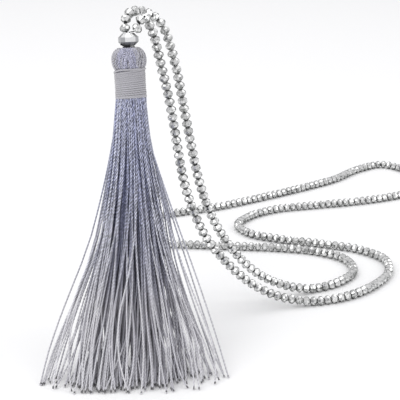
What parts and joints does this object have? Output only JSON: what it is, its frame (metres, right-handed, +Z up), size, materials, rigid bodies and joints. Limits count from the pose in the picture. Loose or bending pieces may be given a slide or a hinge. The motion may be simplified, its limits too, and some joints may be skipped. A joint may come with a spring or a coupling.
{
  "type": "tassel necklace",
  "caption": "Long loop of small cut crystal rondelles on a thread, hung over its crest, with a larger rondelle above a silky thread tassel that fans out below.",
  "frame": {"origin": "the point where the string lies over a thin support, under its crest", "axes": "+X to the right and +Y away from someone facing the tassel, +Z up"},
  "size_m": [0.1859, 0.2709, 0.1319],
  "materials": {
    "crystal": "cut grey crystal with a half-silvered coating",
    "head_thread": "silky twisted thread",
    "binding_thread": "silky twisted thread, wound tight",
    "fringe_thread": "silky twisted thread",
    "stringing_thread": "dark beading thread"
  },
  "bodies": {
    "root": {"tassel_head": "head_thread", "tassel_binding": "binding_thread", "tassel_skirt": "fringe_thread", "thread_knot": "stringing_thread", "large_rondelle": "crystal", "beads_inner": "crystal", "beads_outer": "crystal", "thread_inner": "stringing_thread", "thread_outer": "stringing_thread", "string_back": "crystal"}
  },
  "joints": []
}
